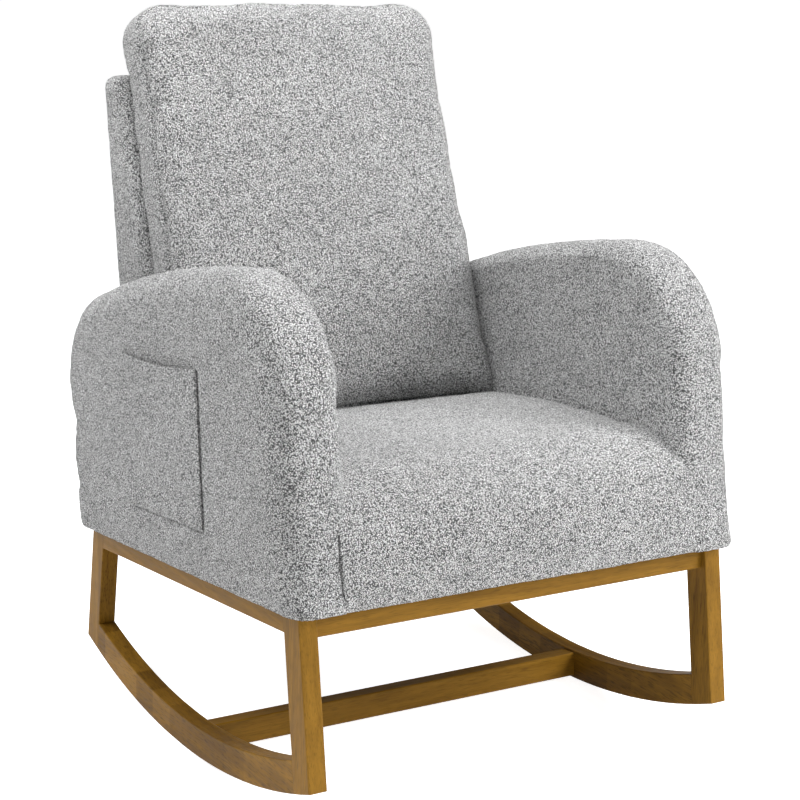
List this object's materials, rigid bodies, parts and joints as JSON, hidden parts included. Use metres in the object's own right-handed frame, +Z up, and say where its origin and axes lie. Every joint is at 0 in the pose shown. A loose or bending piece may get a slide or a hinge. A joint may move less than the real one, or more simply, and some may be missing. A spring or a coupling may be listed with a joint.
{
  "type": "rocking chair",
  "caption": "High-backed upholstered rocking chair with rounded padded arms, side pockets and a wooden rocker base.",
  "frame": {"origin": "middle of the bounding box's footprint, on the floor", "axes": "+Z up; -Y the way the chair faces; +X towards the right as seen from the front"},
  "size_m": [0.7028, 0.8212, 0.9895],
  "materials": {
    "wood": "satin honey-brown stain, grain along each piece",
    "hidden_wood": "bare sawn softwood, inside the upholstery",
    "fabric": "light grey curly looped pile",
    "webbing": "dark elastic webbing",
    "lining": "black non-woven dust cover",
    "steel": "zinc-plated"
  },
  "bodies": {
    "root": {"left_front_leg": "wood", "left_rear_leg": "wood", "left_side_rail": "wood", "left_rocker": "wood", "left_base_bolt_1": "steel", "left_base_bolt_2": "steel", "right_front_leg": "wood", "right_rear_leg": "wood", "right_side_rail": "wood", "right_rocker": "wood", "right_base_bolt_1": "steel", "right_base_bolt_2": "steel", "front_rail": "wood", "rear_rail": "wood", "stretcher": "wood", "front_left_corner_block": "wood", "front_right_corner_block": "wood", "rear_left_corner_block": "wood", "rear_right_corner_block": "wood", "left_arm": "fabric", "left_arm_frame": "hidden_wood", "left_arm_bolt_1": "steel", "left_arm_bolt_2": "steel", "left_pocket": "fabric", "right_arm": "fabric", "right_arm_frame": "hidden_wood", "right_arm_bolt_1": "steel", "right_arm_bolt_2": "steel", "right_pocket": "fabric", "seat_cushion": "fabric", "seat_left_rail": "hidden_wood", "seat_right_rail": "hidden_wood", "seat_front_rail": "hidden_wood", "seat_rear_rail": "hidden_wood", "webbing_strap_1": "webbing", "webbing_strap_2": "webbing", "webbing_strap_3": "webbing", "webbing_strap_4": "webbing", "webbing_strap_5": "webbing", "seat_dust_cover": "lining", "outer_back": "fabric", "back_dust_cover": "lining", "back_left_upright": "hidden_wood", "back_right_upright": "hidden_wood", "back_top_rail": "hidden_wood", "back_lower_rail": "hidden_wood", "back_left_bolt": "steel", "back_right_bolt": "steel", "back_cushion": "fabric"}
  },
  "joints": []
}
